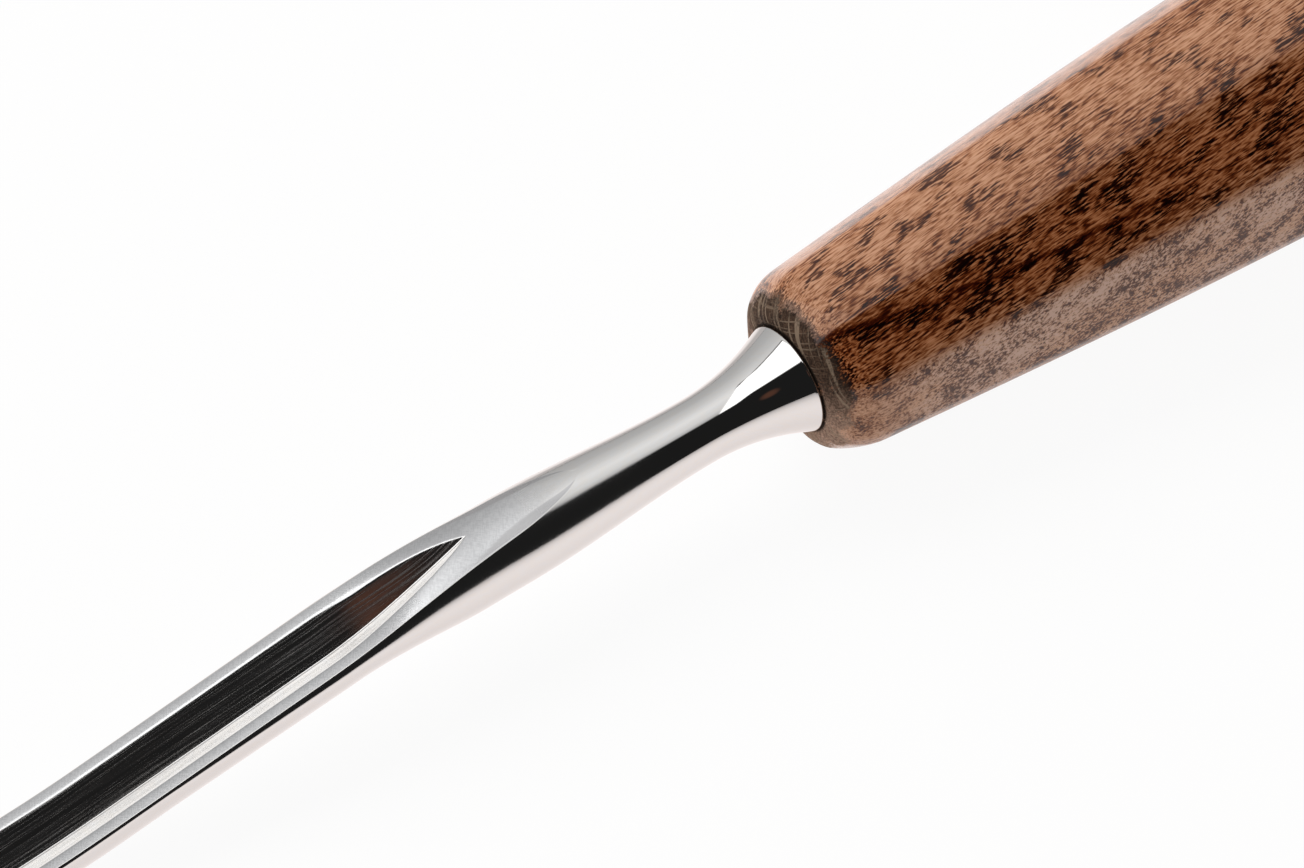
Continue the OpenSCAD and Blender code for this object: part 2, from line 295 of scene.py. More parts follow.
def halfSection(c):
    # half of the section from keel to top middle, across and up.
    # Outside: circle of the shank blended into an elliptic belly with a round cheek under the rim.
    # Top: a height over y, the crowned ground top with its side facets,
    # less the part of the V that lies below it.
    rho = b["edgeRound"]
    u = np.linspace(0, 1, b["sideN"])[None, :]
    lower = np.clip(u / b["wideAt"], 0, 1)
    upper = np.clip((u - b["wideAt"]) / (1 - b["wideAt"]), 0, 1)
    v = after(b["cornerN"])
    core = c["radius"] - rho
    flatCore = np.sqrt(np.maximum(core**2 - np.minimum(c["top"] - rho, core)**2, 0))
    cornerY = np.maximum(flatCore, b["layMin"])
    beta = np.arccos(cornerY / core)
    side = np.pi / 2 * (lower - 1) + beta * upper
    fillet = mix(beta, np.pi / 2, v)
    follow = beta + b["followTurn"] * v
    hasFlat = flatCore > b["layMin"]
    shankY = np.where(hasFlat, cornerY + rho * np.cos(fillet), c["radius"] * np.cos(follow))
    shankZ = np.where(hasFlat, core * np.sin(beta) + rho * np.sin(fillet), c["radius"] * np.sin(follow))
    phi = np.pi / 2 * (1 - lower)
    turn = cheekTurn * upper
    wideY = c["span"] + c["cheek"] * (1 - np.cos(cheekTurn))
    wideZ = c["top"] - rho * (1 - np.sin(cheekTurn)) - c["cheek"] * np.sin(cheekTurn)
    keelZ = c["top"] - b["height"]
    bellyY = wideY * np.clip(np.cos(phi), 0, 1)**c["power"] - c["cheek"] * (1 - np.cos(turn))
    bellyZ = mix(wideZ, keelZ, np.sin(phi)**c["power"]) + c["cheek"] * np.sin(turn)
    corner = mix(cheekTurn, np.pi / 2, v)
    lipY = c["span"] + rho * (np.cos(corner) - np.cos(cheekTurn))
    lipZ = c["top"] - rho + rho * np.sin(corner)
    flatHalf = np.sqrt(np.maximum(c["radius"]**2 - c["top"]**2, 0))
    spread = (c["rimMix"] - c["bellyMix"]) * (c["span"] - flatHalf)
    outY = np.hstack([mix(c["radius"] * np.cos(side), bellyY, c["bellyMix"]) + spread * ease(u),
                      mix(shankY, lipY, c["bellyMix"]) + spread])
    outZ = np.hstack([mix(c["radius"] * np.sin(side), bellyZ, c["bellyMix"]),
                      mix(shankZ, lipZ, c["bellyMix"])])
    # the bevel brings the outside in to the channel wall
    share = np.hstack([b["bevelShare"] * u, b["bevelShare"] + (1 - b["bevelShare"]) * v])
    edgeY = (c["lip"] + b["edgeThick"]) * share
    edgeZ = c["root"] + wallHeight(c["lip"] * share) - b["edgeThick"] * (1 - share)
    outY = mix(outY, edgeY, c["bevel"])
    outZ = mix(outZ, edgeZ, c["bevel"])
    # places across the top: rim, both sides of the channel edge, wall, root
    rimY = outY[:, -1:]
    mouth = mouthHalf(c, rimY)
    lay = np.maximum(mouth, c["layout"] * rimY)
    p1 = np.minimum(lay + b["lipOut"], mix(lay, rimY, b["lipOutMost"]))
    p2 = np.maximum(lay - b["lipIn"], b["inLeast"] * p1)
    p3 = np.minimum(rootY, b["inLeast"] * p2)
    n = b["topNs"]
    topY = np.hstack([mix(rimY, p1, after(n[0])), mix(p1, p2, after(n[1])), mix(p2, p3, after(n[2])),
                      mix(p3, 0, after(n[3]))])
    ground = groundTop(c, rimY, topY)
    lipSoft = b["lipRound"] * ease((groundTop(c, rimY, 0 * rimY) - c["root"]) / b["lipDeep"])
    topZ = ground - softMax(ground - c["root"] - wallHeight(topY), lipSoft)
    return np.hstack([outY, topY]), np.hstack([outZ, topZ]), mouth


def closeRing(y, z):  # the half and its mirror image as one ring, up the right side and down the left
    return np.hstack([y, -y[:, -2:0:-1]]), np.hstack([z, z[:, -2:0:-1]])


def bladeSkin():
    # rings along the tool: square tang, seat, rim of the bolster, flare, then the sections along the spine
    bolsterR = b["bolsterD"] / 2
    neckR = b["neckD"] / 2
    rise = b["neckAt"] - b["bolsterLand"]
    flareR = ((bolsterR - neckR)**2 + rise**2) / (2 * (bolsterR - neckR))
    turn = np.linspace(0, np.pi / 2, b["rimN"])
    rimX = b["bolsterRound"] * (1 - np.cos(turn))
    rimR = bolsterR - b["bolsterRound"] * (1 - np.sin(turn))
    flareX = np.linspace(b["bolsterLand"], b["neckAt"], b["flareN"])[:-1]
    flare = neckR + flareR - np.sqrt(flareR**2 - (b["neckAt"] - flareX)**2)
    roundX = np.concatenate([rimX, flareX])
    roundY, roundZ = closeRing(*halfSection(roundSizes(np.concatenate([rimR, flare])))[:2])
    # the square tang keeps the directions of the neck's points
    dirY, dirZ = roundY[-1:] / neckR, roundZ[-1:] / neckR
    square = np.maximum(abs(dirY), abs(dirZ))
    tangX = np.array([-b["tangLen"], b["tangPoint"] - b["tangLen"], -b["tangMid"], 0.0])[:, None]
    tangHalf = np.array([b["pointShare"] * b["tangEnd"], b["tangEnd"], 0, b["tangRoot"]])[:, None] / 2
    reach = (tangX[2] - tangX[1]) / (tangX[3] - tangX[1])
    tangHalf[2] = mix(tangHalf[1], tangHalf[3], reach)
    marks = [b["neckAt"], b["channelAt"] - b["stepLead"], runoutEnd, bevelAt, tipAt]
    runs = [np.linspace(lo, hi, k, endpoint=False) for lo, hi, k in zip(marks, marks[1:], b["steps"])]
    s = np.concatenate(runs + [[tipAt]])
    y, z, mouth = halfSection(sectionSizes(s))
    y, z = closeRing(y, z)
    x0, z0, a = (v[:, None] for v in spinePath(s))
    xs = np.vstack([tangX + 0 * dirY, roundX[:, None] + 0 * roundY, x0 - z * np.sin(a)])
    ys = np.vstack([tangHalf * dirY / square, roundY, y])
    zs = np.vstack([tangHalf * dirZ / square, roundZ, z0 + z * np.cos(a)])
    along = np.concatenate([tangX[:, 0], roundX, s])
    mouth = np.concatenate([0 * tangX[:, 0], 0 * roundX, mouth[:, 0]])
    return np.stack([seatX + xs, ys, zs], -1), along, mouth


def stripCap(first, cols, half, flip):  # closes a ring by quads between its outside and its top, both halves
    out = np.arange(half // 2)
    top = half - 1 - np.arange(half // 2)
    right = np.stack([out[:-1], out[1:], top[1:], top[:-1]], -1)
    left = (cols - right) % cols
    faces = np.vstack([right, left[:, ::-1]])
    return first + (faces[:, ::-1] if flip else faces)


def makeBlade():  # the skin closed at both ends, with the numbers its finish is painted by
    points, along, mouth = bladeSkin()
    rows, cols = points.shape[:2]
    half = cols // 2 + 1
    body = gridFaces(rows, cols)
    caps = np.vstack([stripCap(0, cols, half, True), stripCap((rows - 1) * cols, cols, half, False)])
    piece = makePiece("gougeBlade", points.reshape(-1, 3), [body, caps], len(caps))
    # what was ground: rims and top flat, and the channel
    c = sectionSizes(np.clip(along, b["neckAt"], None))
    across = abs(points[:, :, 1])
    index = np.arange(cols)
    topIndex = np.minimum(index, cols - index)[None, :] >= half // 2
    run = along[:, None]
    rim = topIndex * ease((run - b["topAt"]) / b["groundFade"])
    inside = topIndex * ease((mouth[:, None] - across) / b["channelSoft"] + 0.5)
    inside = inside * (mouth[:, None] > b["mouthLeast"])
    rimY = across[:, half // 2 - 1][:, None]
    facet = topIndex * ease((across - rimY + c["facet"]) / b["facetEdge"]) * ease(c["facet"] / b["facetShow"])
    addAttribute(piece, "ground", rim * (1 - inside))
    addAttribute(piece, "channel", inside)
    addAttribute(piece, "facet", facet)
    addAttribute(piece, "lapped", rim * (1 - inside) * (1 - ease((run - b["lapEnd"]) / b["lapFade"])))
    addAttribute(piece, "satin", np.broadcast_to(ease((run - b["satinAt"]) / b["satinRun"]), across.shape))
    # map along and across the skin, in cm
    step = np.linalg.norm(np.diff(points, axis=1, append=points[:, :1]), axis=2)
    girth = np.concatenate([np.zeros((rows, 1)), np.cumsum(step, axis=1)], axis=1) / 10
    i = np.arange(rows - 1)[:, None]
    j = np.arange(cols)[None, :]
    corners = [(i, j), (i, j + 1), (i + 1, j + 1), (i + 1, j)]
    bodyMap = np.stack([np.stack([np.broadcast_to(along[r] / 10, (rows - 1, cols)), girth[r, k]], -1)
                        for r, k in corners], 2)
    addMap(piece, "lengthwise", np.vstack([bodyMap.reshape(-1, 2), np.zeros((4 * len(caps), 2))]))
    print("blade skin:", rows, "rings of", cols)
    return piece


steelLook = dict(
    colour=(0.7, 0.696, 0.694), warm=(0.71, 0.69, 0.668), facetShadeTone=(0.54, 0.537, 0.542),
    satinTop=(0.65, 0.652, 0.66), satinDim=(0.55, 0.552, 0.56), lapTone=(0.8, 1.2), warmAt=(0.35, 0.65),
    # roughness of each finish, and what marks add to it
    polished=0.045, satin=0.13, crown=0.17, lapped=0.32, facet=0.34, channel=0.07,
    cloudRough=0.06, hairRough=0.12, dragRough=0.3,
    # marks: scales along, across and through the map in cm or the place in m, detail, roughness, seed
    scratch=((0.5, 90, 1), 3, 0.7), hair=((1.2, 160, 1), 1, 0.5, (3, 1, 0)), drag=((0.3, 55, 1), 3, 0.7, (2, 5, 0)),
    lapping=((75, 11, 1), 2, 0.7), lapTurns=((0.75, (7, 2, 0)), (-0.6, (2, 9, 0))),
    mottle=((9, 30, 1), 4, 0.65, (1, 7, 0)), cloud=((60, 160, 160), 3, 0.6),
    hairStops=[(0.0, 0.0), (0.62, 0.0), (0.72, 1.0)], dragStops=[(0.42, 0.0), (0.72, 1.0)],
    # heights, in shares of the bump
    bump=0.006, bumpShare=0.35, scratchDeep=0.12, channelDeep=1.0, hairDeep=-0.6, lapDeep=2.2, mottleDeep=1.5,
)


def makeSteel():
    # bare metal: each finish blends its tone and roughness in by the number stored on the mesh
    k = steelLook
    material = bpy.data.materials.new("polishedSteel")
    tree = newTree(material)
    lengthwise = add(tree, "ShaderNodeUVMap", uv_map="lengthwise").outputs[0]
    place = add(tree, "ShaderNodeTexCoord").outputs["Object"]
    ground, lapped, channel, facet, satin = attributes(tree, "ground", "lapped", "channel", "facet", "satin")
    # long fine scratches, hairlines, crossed lapping marks and a faint cloud where a cloth has wiped
    scratch = streaks(tree, lengthwise, *k["scratch"])
    hair = ramp(tree, streaks(tree, lengthwise, *k["hair"]), k["hairStops"])
    drag = ramp(tree, streaks(tree, lengthwise, *k["drag"]), k["dragStops"])
    crossed = [streaks(tree, turned(tree, lengthwise, (0, 0, turn)), *k["lapping"], seed)
               for turn, seed in k["lapTurns"]]
    lapping = math(tree, "ADD", *crossed)
    mottle = streaks(tree, lengthwise, *k["mottle"])
    cloud = streaks(tree, place, *k["cloud"])
    worked = math(tree, "MAXIMUM", ground, channel)
    colour = blendColour(tree, gate(tree, mottle, *k["warmAt"]), k["colour"], k["warm"])
    lapTone = blendColour(tree, gate(tree, lapping, *k["lapTone"]), k["satinDim"], k["satinTop"])
    colour = blendColour(tree, ground, colour, lapTone)
    # the ground facets get a darker colour: painted shade standing in for their darker reflection
    colour = blendColour(tree, facet, colour, k["facetShadeTone"])
    rough = math(tree, "MULTIPLY_ADD", satin, k["satin"] - k["polished"], k["polished"])
    rough = math(tree, "MULTIPLY_ADD", ground, math(tree, "SUBTRACT", k["crown"], rough), rough)
    rough = math(tree, "MULTIPLY_ADD", lapped, k["lapped"] - k["crown"], rough)
    rough = math(tree, "MULTIPLY_ADD", channel, math(tree, "SUBTRACT", k["channel"], rough), rough)
    rough = math(tree, "MULTIPLY_ADD", facet, k["facet"] - k["lapped"], rough)
    rough = math(tree, "MULTIPLY_ADD", math(tree, "SUBTRACT", cloud, 0.5), k["cloudRough"], rough)
    rough = math(tree, "MULTIPLY_ADD", math(tree, "MULTIPLY", hair, worked), k["hairRough"], rough)
    rough = math(tree, "MULTIPLY_ADD", math(tree, "MULTIPLY", drag, channel), k["dragRough"], rough)
    scratched = math(tree, "MULTIPLY_ADD", channel, k["channelDeep"], k["scratchDeep"])
    height = math(tree, "MULTIPLY", scratch, scratched)
    height = math(tree, "MULTIPLY_ADD", hair, math(tree, "MULTIPLY", worked, k["hairDeep"]), height)
    height = math(tree, "MULTIPLY_ADD", lapping, math(tree, "MULTIPLY", ground, k["lapDeep"]), height)
    height = math(tree, "MULTIPLY_ADD", mottle, math(tree, "MULTIPLY", satin, k["mottleDeep"]), height)
    bump = add(tree, "ShaderNodeBump", Strength=k["bumpShare"], Distance=k["bump"] * mm, Height=height).outputs[0]
    shader = add(tree, "ShaderNodeBsdfPrincipled", Metallic=1.0, Roughness=rough, Normal=bump)
    tree.links.new(colour, shader.inputs["Base Color"])
    add(tree, "ShaderNodeOutputMaterial", Surface=shader.outputs[0])
    return material


# handle: eight facets with round edges, a swelling body, soft nose and butt, and the socket of the tang

handleSize = dict(
    flats=30.0, full=0.75, noseFlats=19.1, buttFlats=26.6, facetCrown=0.02, facetRound=3.0,
    noseRound=5.0, noseInset=3.3, buttRound=7.0, buttInset=5.5, fitGap=0.05,
    flatN=14, arcN=7, roundN=26, bodyN=150, faceRings=(0.3, 0.65, 0.9), noseRings=(0.35, 0.7),
    # end grain: where it starts to fade and over how far, in shares of the rounding
    noseFade=(0.1, 0.36), buttFade=(0.5, 0.4),
    # round the axis in degrees, behind the nose in mm
    heartAndShadeAt=45, heartAndShadeWide=20, farHeart=0.7, farAt=165, farWide=22,
    rayWide=22, raySharp=16, rayLeast=0.35, rayFrom=2, rayRun=12,
    ringAt=36, ringLift=20.5, ringFrom=7, ringRun=17, ringSpacing=120, ringEnd=38, ringFade=6,
)
h = handleSize


def sideHalf(d):
    # half across flats, a distance behind the nose: quarter sine up to the fullest, quarter cosine after
    fullAt = h["full"] * seatX
    rising = mix(h["noseFlats"], h["flats"], np.sin(np.pi / 2 * d / fullAt)) / 2
    falling = mix(h["buttFlats"], h["flats"], np.cos(np.pi / 2 * (d - fullAt) / (seatX - fullAt))) / 2
    return np.where(d < fullAt, rising, falling)


def facetRing(half):
    # eight flats joined by arcs, from +Y towards +Z, half across flats in a column;
    # sanding leaves each flat a little crowned: points move out at mid-flat and in at the edges,
    # by the square of their angle
    r = h["facetRound"]
    facet = np.radians(45 * np.arange(8))[:, None]
    flat = np.linspace(-1, 1, h["flatN"])[None, :]
    arc = np.radians(45) * np.arange(1, h["arcN"] + 1)[None, :] / (h["arcN"] + 1)
    core = (half - r)[:, None, None]
    reach = core * np.tan(np.radians(22.5)) * flat
    tip = core / np.cos(np.radians(22.5))
    mid = facet + np.radians(22.5)
    flatY = (core + r) * np.cos(facet) - reach * np.sin(facet)
    flatZ = (core + r) * np.sin(facet) + reach * np.cos(facet)
    arcY = tip * np.cos(mid) + r * np.cos(facet + arc)
    arcZ = tip * np.sin(mid) + r * np.sin(facet + arc)
    y = np.concatenate([flatY, arcY], 2)
    z = np.concatenate([flatZ, arcZ], 2)
    off = (np.degrees(np.arctan2(z, y)) + 22.5) % 45 / 22.5 - 1
    sanded = 1 + h["facetCrown"] * (0.5 - off**2)
    return (y * sanded).reshape(len(half), -1), (z * sanded).reshape(len(half), -1)


def handleSkin():
    # rings from the butt face over the body to the nose face, then in and down the socket
    turn = np.linspace(0, np.pi / 2, h["roundN"])
    buttD = seatX - h["buttRound"] * (1 - np.sin(turn[::-1]))
    buttH = sideHalf(buttD) - h["buttInset"] * (1 - np.cos(turn[::-1]))
    bodyD = np.linspace(seatX - h["buttRound"], h["noseRound"], h["bodyN"])[1:-1]
    noseD = h["noseRound"] * (1 - np.cos(turn[::-1]))
    noseH = sideHalf(noseD) - h["noseInset"] * (1 - np.sin(turn[::-1]))
    d = np.concatenate([buttD, bodyD, noseD])
    y, z = facetRing(np.concatenate([buttH, sideHalf(bodyD), noseH]))
    face = np.array(h["faceRings"])[:, None]
    dirs = np.hypot(y[:1], z[:1])
    dirY, dirZ = y[:1] / dirs, z[:1] / dirs
    square = np.maximum(abs(dirY), abs(dirZ))
    gap = h["fitGap"]
    pocketD = np.array([0, b["tangLen"] - b["tangPoint"], b["tangLen"] + gap])
    pocket = np.array([b["tangRoot"], b["tangEnd"], b["pointShare"] * b["tangEnd"]])[:, None] / 2 + gap
    squareY, squareZ = pocket * dirY / square, pocket * dirZ / square
    noseMid = np.array(h["noseRings"])[:, None]
    ys = np.vstack([face * y[:1], y, mix(y[-1:], squareY[:1], noseMid), squareY])
    zs = np.vstack([face * z[:1], z, mix(z[-1:], squareZ[:1], noseMid), squareZ])
    back = np.concatenate([np.full(len(face), seatX), d, np.zeros(len(noseMid)), pocketD])
    xs = seatX - back[:, None] + 0 * ys
    return np.stack([xs, ys, zs], -1), back


def makeHandle():  # the skin closed at the butt and in the socket, with the numbers its grain is painted by
    points, back = handleSkin()
    rows, cols = points.shape[:2]
    body = gridFaces(rows, cols)
    flat = points.reshape(-1, 3)
    middle = np.array([[0, 0, 0], [points[-1, 0, 0], 0, 0]])
    j = np.arange(cols)
    k = (j + 1) % cols
    last = (rows - 1) * cols
    buttFan = np.stack([k, j, np.full(cols, rows * cols)], -1)
    pocketFan = np.stack([last + j, last + k, np.full(cols, rows * cols + 1)], -1)
    piece = makePiece("gougeHandle", np.vstack([flat, middle]), [body, buttFan, pocketFan])
    # end grain shows on both faces and over part of their rounding
    nose = 1 - ease((back - h["noseFade"][0] * h["noseRound"]) / (h["noseFade"][1] * h["noseRound"]))
    butt = ease((back - seatX + h["buttFade"][0] * h["buttRound"]) / (h["buttFade"][1] * h["buttRound"]))
    endGrain = np.maximum(nose, butt)[:, None] + np.zeros(cols)
    # round the axis: the heart side, darker wood that is also painted shade on the upper facet on the +Y side, two
    # cuts along the rays, and how far each point lies from a growth line
    run = back[:, None]
    angle = np.degrees(np.arctan2(points[:, :, 2], points[:, :, 1]))
    # heart side at 45 degrees: partly darker heartwood, partly painted shade on the upper facet on the +Y side
    heartAndShade = np.exp(-((angle - h["heartAndShadeAt"]) / h["heartAndShadeWide"])**4)
    heartAndShade = heartAndShade + h["farHeart"] * np.exp(-((abs(angle) - h["farAt"]) / h["farWide"])**2)
    # ray cuts on the two side facets; their pale greyish bare colour is partly a painted sheen
    rayCut = np.exp(-(angle / h["rayWide"])**h["raySharp"])
    rayCut = rayCut + np.exp(-((abs(angle) - 180) / h["rayWide"])**h["raySharp"])
    rayCut = rayCut * mix(h["rayLeast"], 1, ease((run - h["rayFrom"]) / h["rayRun"]))
    ringLine = h["ringAt"] + h["ringLift"] * np.exp(-(run - h["ringFrom"]) / h["ringRun"])
    halfSpacing = h["ringSpacing"] / 2
    turns = (angle - ringLine + halfSpacing) % h["ringSpacing"] - halfSpacing
    fade = np.clip((run - h["ringEnd"]) / h["ringFade"], 0, None)
    growth = np.radians(turns) * np.hypot(points[:, :, 1], points[:, :, 2]) + np.sign(turns) * fade
    for name, values in (("heartAndShade", heartAndShade), ("rayCut", rayCut), ("growth", growth)):
        addAttribute(piece, name, np.concatenate([values.ravel(), [0, 0]]))
    addAttribute(piece, "endGrain", np.concatenate([endGrain.ravel(), [1, 1]]))
    print("handle skin:", rows, "rings of", cols)
    return piece


woodLook = dict(
    bare=(0.63, 0.338, 0.204), heartAndShadeBare=(0.6, 0.252, 0.117), rayBareAndSheen=(0.66, 0.43, 0.33), rayBrown=(0.66, 0.38, 0.24),
    coat=(0.39, 0.255, 0.155), ink=(0.36, 0.3, 0.27), rayMix=(0.38, 0.62), rayDash=0.5,
    depth=0.61, deepest=2.7, heartAndShadeDeepest=1.6, rayDeepest=-0.2,
    # noises: scales along and across in 1/m, detail, roughness, seed; grain and lean are their slants in radians
    grainTurn=(0, -0.06, -0.06), leanTurn=(0, -0.25, -0.25),
    fibreNoise=((130, 4800, 4800), 2, 0.6, (9, 2, 6)), dashNoise=((800, 5800, 5800), 1, 0.5, (4, 4, 4)),
    speckNoise=((1500, 4400, 3800), 2, 0.7, (7, 1, 3)), groupNoise=((190, 500, 500), 2, 0.5, (6, 3, 1)),
    bandNoise=((30, 170, 170), 2, 0.5, (2, 8, 3)), poreNoise=((3800, 3800, 3800), 2, 0.6, (1, 6, 2)),
    # how much each noise adds to the power of the depth, and how the heart side, partly painted shade, and the ray
    # cuts scale it
    fibre=7.0, dash=8.0, band=3.0, cloud=3.2, speck=25.0, rayCloud=14.0, heartAndShade=1.6, ray=-0.1,
    clump=(0.53, 0.74), clumpZone=(0.54, 0.62), clumpDepth=1.4, clumpHeartAndShade=0.6, clumpDash=1.1, clumpFibre=0.5,
    # growth line: how it wanders, then in mm from it, its dark band, the rags below and the clean wood above
    wanderGroup=1.6, wanderDash=1.2,
    lineTop=(0.1, -0.06), lineLow=(-0.95, -0.3), rags=(-3.2, -0.6), cleanTop=(2.2, 1.0),
    ringDark=4.0, ringBelow=0.6, cleanShare=-0.3, ragSlope=0.25, ragMean=0.8, ragLeast=0.2,
    richBelow=0.05, richHeartAndShade=0.07, richClean=-0.1,
    endDark=(0.11, 0.066, 0.044), endLowLit=(0.5, 0.32, 0.235), endPale=(0.42, 0.31, 0.22),
    endRim=(0.014, 0.01, 0.009), grime=(0.008, 0.006, 0.005), jointR=(6.05, 6.4), jointShare=0.92,
    rayTurn=(0.9, 0, 0), rayNoise=((90, 90, 3400), 1, 0.5, (3, 3, 3)), rayStops=[(0.56, 0.0), (0.64, 1.0)],
    crossTurn=(-0.5, 0, 0), crossNoise=((90, 110, 3900), 1, 0.5, (6, 1, 2)), crossStops=[(0.6, 0.0), (0.68, 0.7)],
    poreStops=[(0.38, 0.0), (0.62, 1.0)], poreLow=0.55, poreHigh=0.15, rayShare=0.55,
    noseFrom=(0.4, 0.6), highFrom=(-2.0, 5.5), buttHigh=0.7,
    ragGroup=1.2, ragMarks=0.12, shownAt=(0.5, 0.75), shownLeast=(0.1, 0.4),
    soakAt=(0.0, 0.32), soakEnd=(1.1, 0.7), soakLeast=(0.0, 0.15), soakShare=0.65,
    rough=0.23, endRough=0.55, markRough=0.03, gloss=0.06, endDull=-0.8, lacquer=0.6, lacquerRough=0.12,
    bump=0.05, bumpShare=0.4, markDeep=-0.12, rayHigh=1.2,
)


def makeWood():
    # colour: bare wood times one coat of stain to the power of how deep the stain went in.
    # depth: a number raised to a sum of noises, long fibres, short dashes and broad bands,
    # then clumps of dark dashes where a broad leaning noise is high, then a growth line
    k = woodLook
    material = bpy.data.materials.new("stainedWood")
    tree = newTree(material)
    place = add(tree, "ShaderNodeTexCoord").outputs["Object"]
    endGrain, heartAndShade, rayCut, growth = attributes(tree, "endGrain", "heartAndShade", "rayCut", "growth")
    grain = turned(tree, place, k["grainTurn"])
    lean = turned(tree, place, k["leanTurn"])

    def centred(noise, amount):  # a noise less its mean, times an amount
        return math(tree, "MULTIPLY", math(tree, "SUBTRACT", noise, 0.5), amount)

    fibre = streaks(tree, grain, *k["fibreNoise"])
    dash = streaks(tree, grain, *k["dashNoise"])
    speck = streaks(tree, lean, *k["speckNoise"])
    group = streaks(tree, lean, *k["groupNoise"])
    band = streaks(tree, grain, *k["bandNoise"])
    along = math(tree, "ADD", centred(fibre, k["fibre"]), centred(dash, k["dash"]))
    along = math(tree, "ADD", along, centred(group, k["cloud"]))
    flecks = math(tree, "ADD", centred(speck, k["speck"]), centred(group, k["rayCloud"]))
    marks = math(tree, "MULTIPLY_ADD", rayCut, math(tree, "SUBTRACT", flecks, along), along)
    total = math(tree, "ADD", centred(band, k["band"]), marks)
    depth = math(tree, "MULTIPLY", math(tree, "EXPONENT", total), k["depth"])
    # the heart side takes more stain: partly heartwood, partly painted shade on the upper +Y facet
    side = math(tree, "MULTIPLY_ADD", rayCut, k["ray"], math(tree, "MULTIPLY_ADD", heartAndShade, k["heartAndShade"], 1.0))
    depth = math(tree, "MULTIPLY", depth, side)
    # growth lines: sharp above, ragged below, with cleaner wood just over them
    wander = math(tree, "ADD", centred(dash, k["wanderDash"]), growth)
    wander = math(tree, "ADD", centred(group, k["wanderGroup"]), wander)
    under = gate(tree, wander, *k["lineTop"])
    line = math(tree, "MULTIPLY", under, gate(tree, wander, *k["lineLow"]))
    below = math(tree, "MULTIPLY", under, gate(tree, wander, *k["rags"]))
    clean = math(tree, "MULTIPLY", math(tree, "SUBTRACT", 1.0, under), gate(tree, wander, *k["cleanTop"]))
    rich = math(tree, "MULTIPLY_ADD", heartAndShade, k["richHeartAndShade"], group)
    rich = math(tree, "MULTIPLY_ADD", below, k["richBelow"], rich)
    rich = math(tree, "MULTIPLY_ADD", clean, k["richClean"], rich)
    dashes = math(tree, "ADD", centred(dash, k["clumpDash"]), centred(fibre, k["clumpFibre"]))
    clump = math(tree, "ADD", rich, dashes)
    clump = math(tree, "MULTIPLY", gate(tree, clump, *k["clump"]), gate(tree, rich, *k["clumpZone"]))
    clump = math(tree, "MULTIPLY", clump, math(tree, "SUBTRACT", 1.0, rayCut))
    depth = math(tree, "MULTIPLY", depth, math(tree, "MULTIPLY_ADD", clean, k["cleanShare"], 1.0))
    inked = math(tree, "MULTIPLY", clump, math(tree, "MULTIPLY_ADD", heartAndShade, k["clumpHeartAndShade"], k["clumpDepth"]))
    late = math(tree, "MULTIPLY_ADD", line, k["ringDark"], math(tree, "MULTIPLY", below, k["ringBelow"]))
    ragDeep = math(tree, "MULTIPLY_ADD", marks, k["ragSlope"], k["ragMean"])
    depth = math(tree, "MULTIPLY_ADD", late, math(tree, "MAXIMUM", ragDeep, k["ragLeast"]), depth)
    most = math(tree, "MULTIPLY_ADD", heartAndShade, k["heartAndShadeDeepest"], k["deepest"])
    most = math(tree, "MULTIPLY_ADD", rayCut, k["rayDeepest"], most)
    # the stain soaks in up to a limit: limit times (1 - e to the power of minus depth over limit)
    filled = math(tree, "EXPONENT", math(tree, "MULTIPLY", math(tree, "DIVIDE", depth, most), -1.0))
    depth = math(tree, "MULTIPLY", most, math(tree, "SUBTRACT", 1.0, filled))
    through = add(tree, "ShaderNodeGamma", Color=(*k["coat"], 1), Gamma=depth).outputs[0]
    dark = add(tree, "ShaderNodeGamma", Color=(*k["ink"], 1), Gamma=inked).outputs[0]
    browner = gate(tree, math(tree, "ADD", band, centred(dash, k["rayDash"])), *k["rayMix"])
    # pale greyish ray-cut colour: partly real ray fleck, partly a painted sheen of the floor's reflection
    rayWood = blendColour(tree, browner, k["rayBareAndSheen"], k["rayBrown"])
    # heart side darker: partly heartwood, partly painted shade on the upper facet on the +Y side
    colour = blendColour(tree, rayCut, blendColour(tree, heartAndShade, k["bare"], k["heartAndShadeBare"]), rayWood)
    colour = blendColour(tree, 1.0, blendColour(tree, 1.0, colour, through, "MULTIPLY"), dark, "MULTIPLY")
    # end grain: thin pale rays across a dark ground, blackened at its rim, and a painted shadow where it meets the
    # bolster
    ray = ramp(tree, streaks(tree, turned(tree, place, k["rayTurn"]), *k["rayNoise"]), k["rayStops"])
    cross = ramp(tree, streaks(tree, turned(tree, place, k["crossTurn"]), *k["crossNoise"]), k["crossStops"])
    rayTone = math(tree, "MAXIMUM", ray, cross)
    pore = ramp(tree, streaks(tree, place, *k["poreNoise"]), k["poreStops"])
    split = add(tree, "ShaderNodeSeparateXYZ", in0=place).outputs
